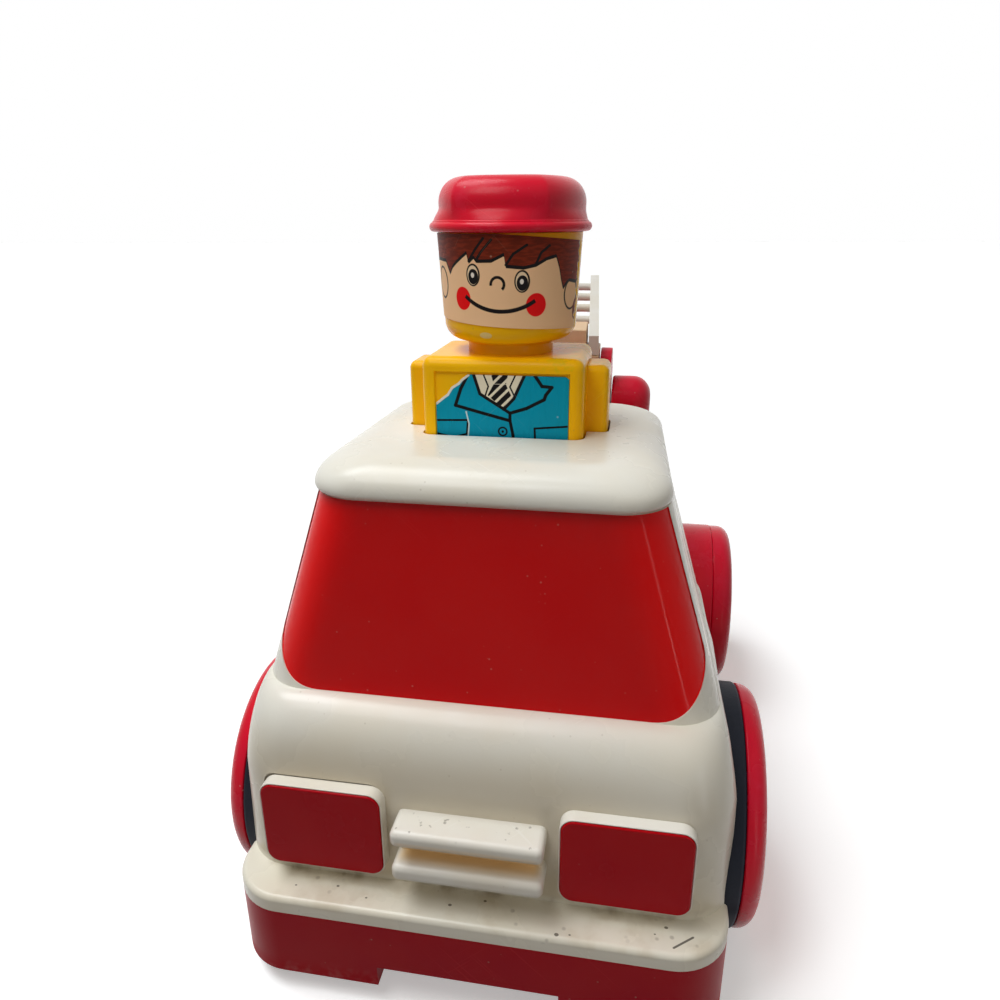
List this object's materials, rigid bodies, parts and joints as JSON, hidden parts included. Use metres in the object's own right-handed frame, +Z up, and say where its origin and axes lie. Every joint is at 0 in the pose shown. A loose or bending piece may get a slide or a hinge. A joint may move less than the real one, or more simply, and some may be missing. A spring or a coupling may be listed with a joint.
{
  "type": "toy fire truck",
  "caption": "Press-and-go toy fire truck: cream cab, red windscreen and base, press-down driver with a gear drive, swivelling rear turntable and tilting ladder.",
  "frame": {"origin": "on the ground under the middle of the overall box", "axes": "-Y is the front of the truck, +X is to the right as seen from the front, +Z is up"},
  "size_m": [0.1514, 0.22, 0.2],
  "materials": {
    "cab_cream": "glossy cream moulding",
    "window_red": "deep glossy red",
    "lamp_red": "dark red, glossy",
    "trim_white": "off-white, satin",
    "base_red": "dark red, satin",
    "body_red": "bright red, glossy",
    "figure_yellow": "warm yellow, glossy",
    "face_print": "printed film",
    "jacket_print": "printed film",
    "ring_rubber": "matt black",
    "gear_nylon": "natural moulding",
    "steel": "plain steel",
    "aged_white": "off-white gone peach"
  },
  "bodies": {
    "body": {"cab_shell": "cab_cream", "windscreen": "window_red", "left_headlight_bezel": "trim_white", "right_headlight_bezel": "trim_white", "left_headlight": "lamp_red", "right_headlight": "lamp_red", "grille": "trim_white", "chassis": "base_red", "rear_body": "body_red", "body_screws": "steel", "guide_post": "steel", "return_spring": "steel", "left_gear_plate": "gear_nylon", "right_gear_plate": "gear_nylon", "gear_plate_screws": "steel"},
    "driver": {"driver_torso": "figure_yellow", "driver_head": "figure_yellow", "driver_hat": "body_red", "face_label": "face_print", "jacket_label": "jacket_print"},
    "drive": {"drive_shaft": "steel", "drive_gear": "gear_nylon"},
    "axle_gear": {"axle_gear": "gear_nylon"},
    "front_axle": {"front_axle": "steel", "clutch_disc": "gear_nylon", "left_front_wheel": "body_red", "right_front_wheel": "body_red", "left_front_tyre": "ring_rubber", "right_front_tyre": "ring_rubber", "left_front_cap": "body_red", "right_front_cap": "body_red"},
    "rear_axle": {"rear_axle": "steel", "left_rear_wheel": "body_red", "right_rear_wheel": "body_red", "left_rear_cap": "body_red", "right_rear_cap": "body_red"},
    "turntable": {"turntable": "body_red", "turntable_washer": "steel", "turntable_screw": "steel"},
    "ladder": {"ladder": "trim_white", "ladder_base": "aged_white", "ladder_pin": "steel", "left_ladder_knob": "body_red", "right_ladder_knob": "body_red"}
  },
  "joints": [
    {"name": "driver_press", "type": "slide", "parent": "body", "child": "driver", "axis": [0, 0, -1], "range_m": [0, 0.02], "stiffness_N_per_m": 250, "springref_m": -0.01, "deforming": ["return_spring"]},
    {"name": "drive_spin", "type": "hinge", "parent": "body", "child": "drive", "pos_m": [0, -0.049, 0.0522], "axis": [1, 0, 0], "range_deg": [-192, 0]},
    {"name": "axle_gear_spin", "type": "hinge", "parent": "body", "child": "axle_gear", "pos_m": [0, -0.0575, 0.033], "axis": [1, 0, 0], "range_deg": [0, 384]},
    {"name": "front_axle_spin", "type": "hinge", "parent": "body", "child": "front_axle", "pos_m": [0, -0.0575, 0.033], "axis": [1, 0, 0], "continuous": true},
    {"name": "rear_axle_spin", "type": "hinge", "parent": "body", "child": "rear_axle", "pos_m": [0, 0.0675, 0.033], "axis": [1, 0, 0], "continuous": true},
    {"name": "turntable_turn", "type": "hinge", "parent": "body", "child": "turntable", "pos_m": [0, 0.039, 0.1058], "axis": [0, 0, 1], "range_deg": [-135, 135]},
    {"name": "ladder_tilt", "type": "hinge", "parent": "turntable", "child": "ladder", "pos_m": [0, 0.039, 0.1264], "axis": [1, 0, 0], "range_deg": [-12.4, 45]}
  ],
  "couplings": [
    {"joint": "drive_spin", "follows": "driver_press", "rad_per_m": -166.67},
    {"joint": "axle_gear_spin", "follows": "driver_press", "rad_per_m": 333.33}
  ]
}
